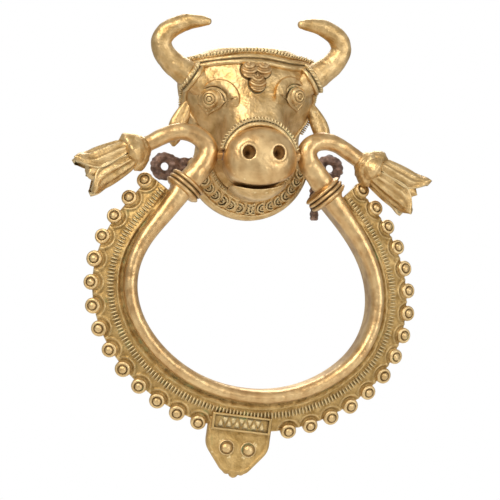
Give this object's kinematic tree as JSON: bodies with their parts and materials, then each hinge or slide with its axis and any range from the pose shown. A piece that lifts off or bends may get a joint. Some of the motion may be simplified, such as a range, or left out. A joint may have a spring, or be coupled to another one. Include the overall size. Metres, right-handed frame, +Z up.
{
  "type": "door knocker",
  "caption": "Cast brass bull's-head door knocker with a beaded horseshoe ring that swings on a level pin through the muzzle; iron eyes take the door screws.",
  "frame": {"origin": "on the door's face, midway between the two fixing holes", "axes": "+X to the viewer's right, +Y into the door, +Z up"},
  "size_m": [0.1743, 0.0475, 0.2304],
  "materials": {
    "cast_brass": "cast, chased and aged, dark in the recesses",
    "handled_brass": "worn smooth by hands",
    "forged_iron": "forged, dark brown"
  },
  "bodies": {
    "head": {"head_shell": "cast_brass", "muzzle": "cast_brass", "lower_jaw": "cast_brass", "crown_band": "cast_brass", "forehead_jewel": "cast_brass", "noseband": "cast_brass", "throat_band": "cast_brass", "bib_collar": "cast_brass", "bib_scrolls": "cast_brass", "pivot_pin": "forged_iron", "fixing_rivets": "forged_iron", "horn_left": "cast_brass", "horn_socket_left": "cast_brass", "ear_left": "cast_brass", "eye_left": "cast_brass", "brow_left": "cast_brass", "bridle_strap_left": "cast_brass", "fixing_eye_left": "forged_iron", "horn_right": "cast_brass", "horn_socket_right": "cast_brass", "ear_right": "cast_brass", "eye_right": "cast_brass", "brow_right": "cast_brass", "bridle_strap_right": "cast_brass", "fixing_eye_right": "forged_iron"},
    "ring": {"ring_grip": "handled_brass", "ring_flange": "cast_brass", "hatch_band": "cast_brass", "ring_beads": "cast_brass", "pendant": "cast_brass", "pendant_plaque": "cast_brass", "pendant_studs": "cast_brass", "collar_left": "cast_brass", "hook_left": "handled_brass", "calyx_left": "cast_brass", "flower_left": "cast_brass", "stamen_left": "cast_brass", "collar_right": "cast_brass", "hook_right": "handled_brass", "calyx_right": "cast_brass", "flower_right": "cast_brass", "stamen_right": "cast_brass"}
  },
  "joints": [
    {"name": "ring_swing", "type": "hinge", "parent": "head", "child": "ring", "pos_m": [0, -0.03, 0.004], "axis": [-1, 0, 0], "range_deg": [-8, 170]}
  ]
}
